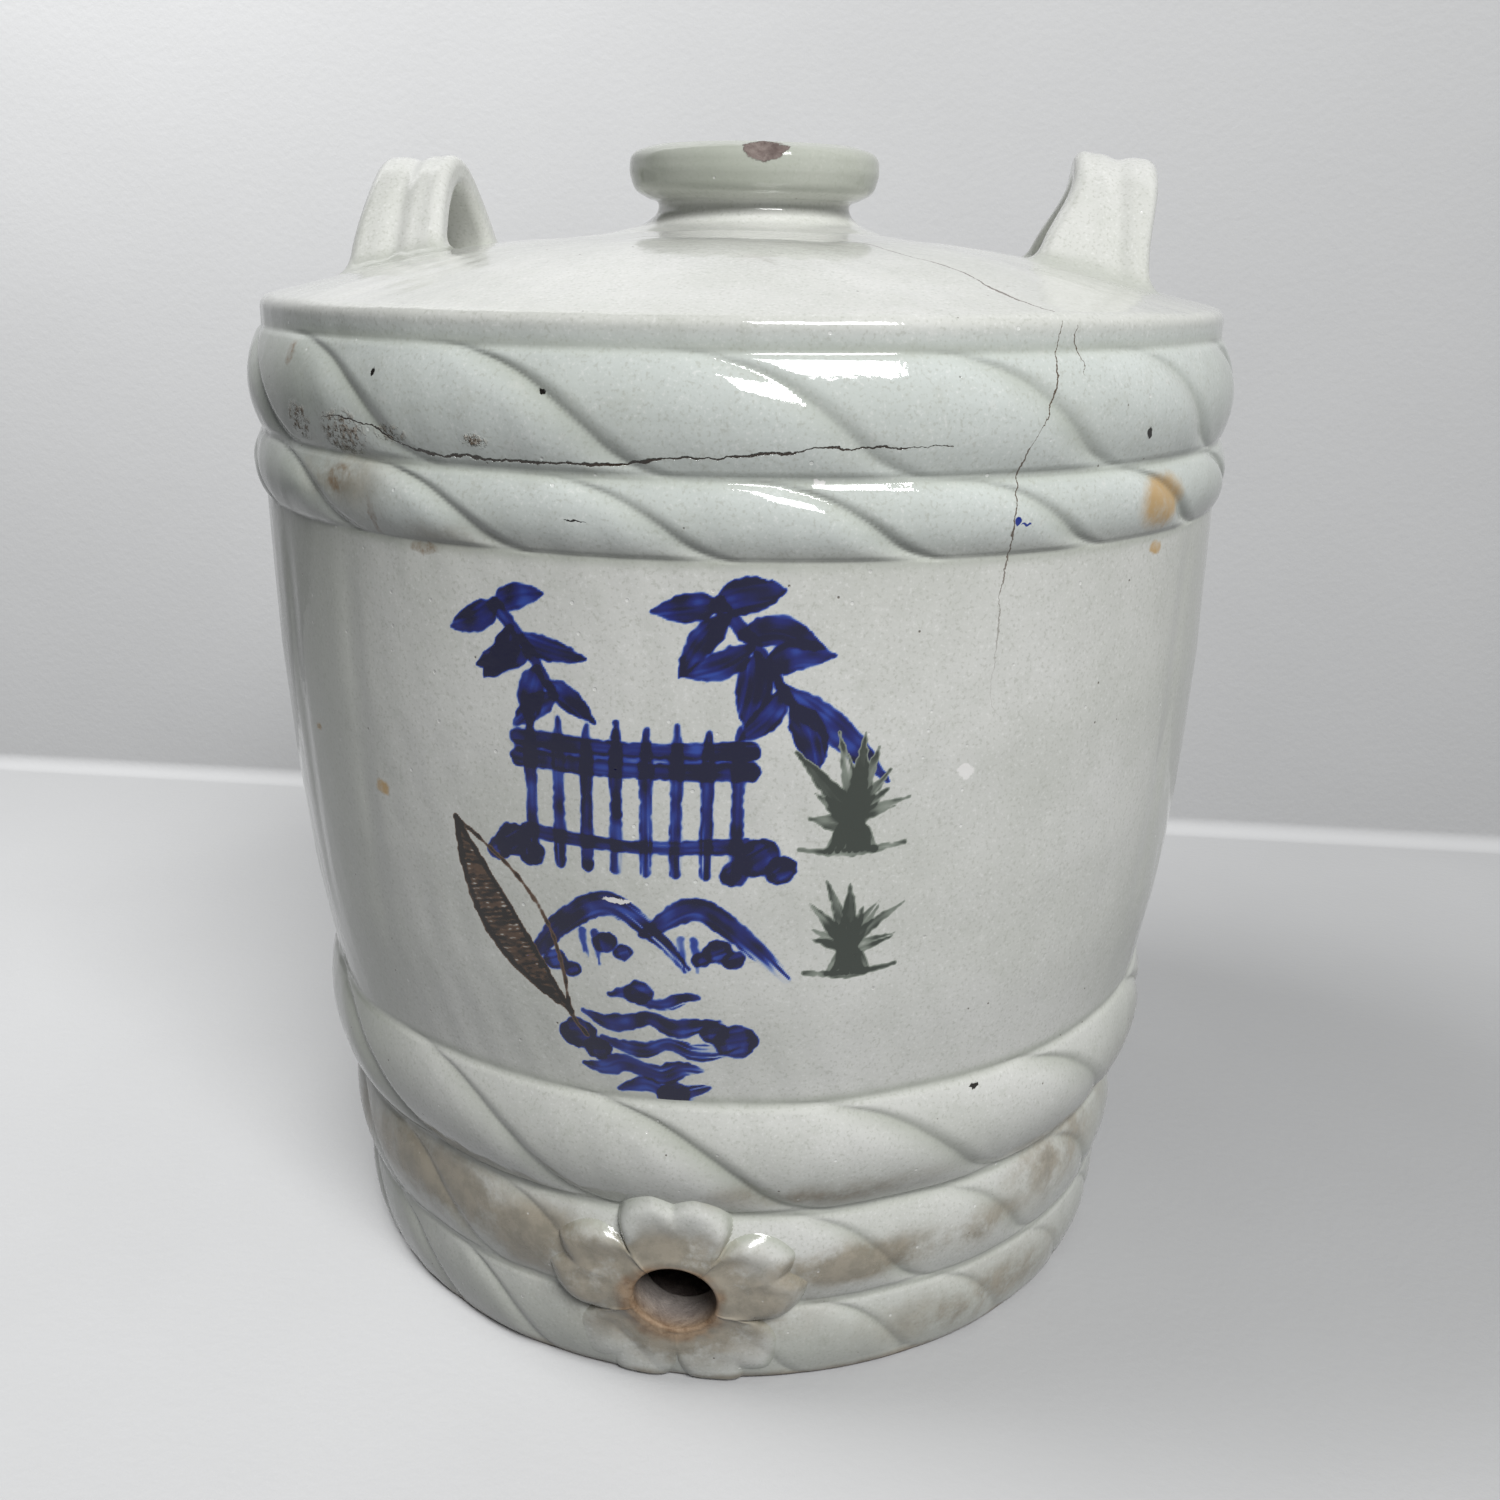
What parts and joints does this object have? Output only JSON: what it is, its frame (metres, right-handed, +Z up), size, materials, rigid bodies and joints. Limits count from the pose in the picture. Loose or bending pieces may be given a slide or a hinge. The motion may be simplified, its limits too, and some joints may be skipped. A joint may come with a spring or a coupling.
{
  "type": "ceramic sake jar",
  "caption": "Celadon-glazed stoneware barrel jar with moulded rope bands, strap handles, a short rolled neck and a blossom boss around its spigot hole.",
  "frame": {"origin": "centre of the resting face, on the ground under the jar's axis", "axes": "+Z up along the jar's axis, -Y towards the spigot, handles at -X and +X"},
  "size_m": [0.261, 0.2594, 0.3005],
  "materials": {
    "celadon_glaze": "glossy celadon glaze over stoneware",
    "bare_clay": "unglazed fired stoneware"
  },
  "bodies": {
    "root": {"floor_disc": "bare_clay", "barrel_wall": "celadon_glaze", "rope_band_foot": "celadon_glaze", "rope_band_lower": "celadon_glaze", "rope_band_waist": "celadon_glaze", "rope_band_upper": "celadon_glaze", "rope_band_shoulder": "celadon_glaze", "shoulder_dome": "celadon_glaze", "neck_and_lip": "celadon_glaze", "handle_left": "celadon_glaze", "handle_right": "celadon_glaze", "spigot_boss": "celadon_glaze"}
  },
  "joints": []
}
